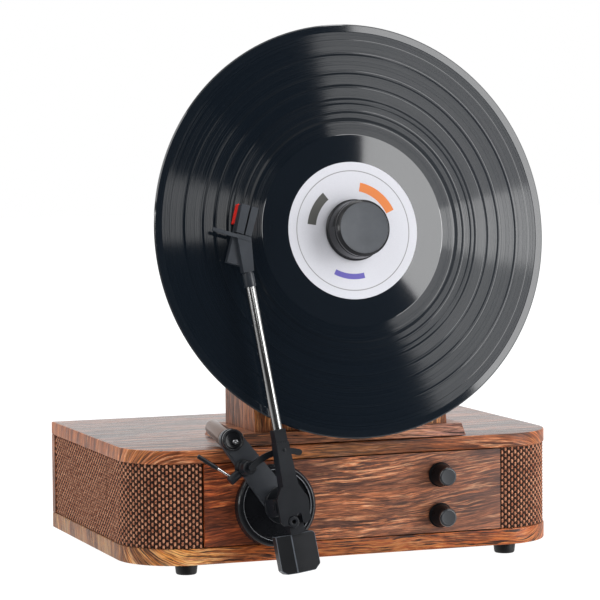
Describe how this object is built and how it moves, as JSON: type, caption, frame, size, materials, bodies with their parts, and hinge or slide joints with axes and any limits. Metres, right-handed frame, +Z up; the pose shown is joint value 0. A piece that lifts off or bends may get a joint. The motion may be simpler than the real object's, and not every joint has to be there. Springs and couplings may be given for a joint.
{
  "type": "vertical record player",
  "caption": "Upright record player: a wooden cabinet with cloth-covered speakers carries a leaning tower with platter, record and clamp, and a tone arm on its front.",
  "frame": {"origin": "on the floor under the centre of the cabinet, in the plane of the feet", "axes": "+Z up, -Y out of the front board, +X to the right as seen from the front"},
  "size_m": [0.336, 0.2771, 0.3947],
  "materials": {
    "wood": "satin",
    "fibreboard": "matt",
    "grille_cloth": "woven",
    "speaker_steel": "matt",
    "speaker_paper": "matt",
    "screw_steel": "plain",
    "foot_rubber": "matt",
    "bearing_brass": "turned",
    "motor_steel": "plain",
    "belt_rubber": "matt",
    "platter_alloy": "black",
    "vinyl": "grooved gloss",
    "label_paper": "paper",
    "clamp_black": "satin",
    "circuit_board": "plain",
    "jack_black": "plain",
    "jack_metal": "plated",
    "knob_black": "gloss sides, matt front",
    "arm_black": "satin",
    "chrome": "polished",
    "stylus_red": "gloss",
    "weight_iron": "black, satin"
  },
  "bodies": {
    "cabinet": {"top_board": "wood", "bottom_board": "wood", "front_board": "wood", "back_board": "wood", "left_grille_frame": "fibreboard", "right_grille_frame": "fibreboard", "left_grille_cloth": "grille_cloth", "right_grille_cloth": "grille_cloth", "left_baffle": "fibreboard", "right_baffle": "fibreboard", "left_speaker_basket": "speaker_steel", "right_speaker_basket": "speaker_steel", "left_speaker_cone": "speaker_paper", "right_speaker_cone": "speaker_paper", "speaker_screws": "screw_steel", "feet": "foot_rubber", "foot_screws": "screw_steel", "plinth": "wood", "tower_front": "wood", "tower_left": "wood", "tower_right": "wood", "tower_top": "wood", "tower_back": "wood", "cover_screws": "screw_steel", "spindle_bearing": "bearing_brass", "motor": "motor_steel", "motor_screws": "screw_steel", "drive_belt": "belt_rubber", "amp_board": "circuit_board", "jack_plate": "jack_black", "rca_jacks": "jack_metal", "dc_inlet": "jack_black", "volume_pot": "motor_steel", "selector_switch": "motor_steel", "arm_base": "arm_black", "arm_screws": "screw_steel", "arm_bracket": "arm_black", "rest_post": "chrome"},
    "platter": {"platter": "platter_alloy", "platter_mat": "belt_rubber", "spindle": "motor_steel", "record": "vinyl", "record_label": "label_paper"},
    "clamp": {"record_clamp": "clamp_black", "clamp_pad": "belt_rubber"},
    "rotor": {"motor_pulley": "bearing_brass"},
    "volume": {"volume_knob": "knob_black"},
    "selector": {"selector_knob": "knob_black"},
    "yoke": {"gimbal_yoke": "arm_black", "gimbal_pins": "screw_steel"},
    "tone_arm": {"arm_housing": "arm_black", "arm_sleeve": "arm_black", "arm_tube": "chrome", "headshell": "arm_black", "cartridge": "arm_black", "stylus": "stylus_red", "weight_link": "arm_black", "counterweight": "weight_iron"},
    "cue": {"cue_lever": "arm_black"},
    "lifter": {"lift_bar": "arm_black"}
  },
  "joints": [
    {"name": "platter_spin", "type": "hinge", "parent": "cabinet", "child": "platter", "pos_m": [0, -0.10951, 0.24526], "axis": [0, -0.9914, 0.1305], "continuous": true},
    {"name": "motor_spin", "type": "hinge", "parent": "cabinet", "child": "rotor", "pos_m": [0, -0.12021, 0.16396], "axis": [0, -0.9914, 0.1305], "continuous": true},
    {"name": "clamp_pull", "type": "slide", "parent": "platter", "child": "clamp", "axis": [0, -0.9914, 0.1305], "range_m": [0, 0.03]},
    {"name": "volume_turn", "type": "hinge", "parent": "cabinet", "child": "volume", "pos_m": [0.0668, -0.11, 0.0638], "axis": [0, 1, 0], "range_deg": [0, 280]},
    {"name": "selector_turn", "type": "hinge", "parent": "cabinet", "child": "selector", "pos_m": [0.0668, -0.11, 0.0336], "axis": [0, 1, 0], "range_deg": [-30, 30]},
    {"name": "arm_swing", "type": "hinge", "parent": "cabinet", "child": "yoke", "pos_m": [-0.063, -0.13501, 0.05159], "axis": [0, -0.9914, 0.1305], "range_deg": [-8.5, 29]},
    {"name": "arm_lift", "type": "hinge", "parent": "yoke", "child": "tone_arm", "pos_m": [-0.063, -0.14492, 0.0529], "axis": [0.9897, 0.0187, 0.1423], "range_deg": [0, 4.1]},
    {"name": "cue_turn", "type": "hinge", "parent": "cabinet", "child": "cue", "pos_m": [-0.08632, -0.12259, 0.08061], "axis": [0.7934, 0.0795, 0.6036], "range_deg": [0, 62]},
    {"name": "bar_lift", "type": "slide", "parent": "cabinet", "child": "lifter", "axis": [0, -0.9914, 0.1305], "range_m": [0, 0.0029]}
  ],
  "couplings": [
    {"joint": "motor_spin", "follows": "platter_spin", "ratio": 13},
    {"joint": "cue_turn", "follows": "arm_lift", "ratio": 14.6},
    {"joint": "bar_lift", "follows": "arm_lift", "m_per_rad": 0.0385}
  ]
}
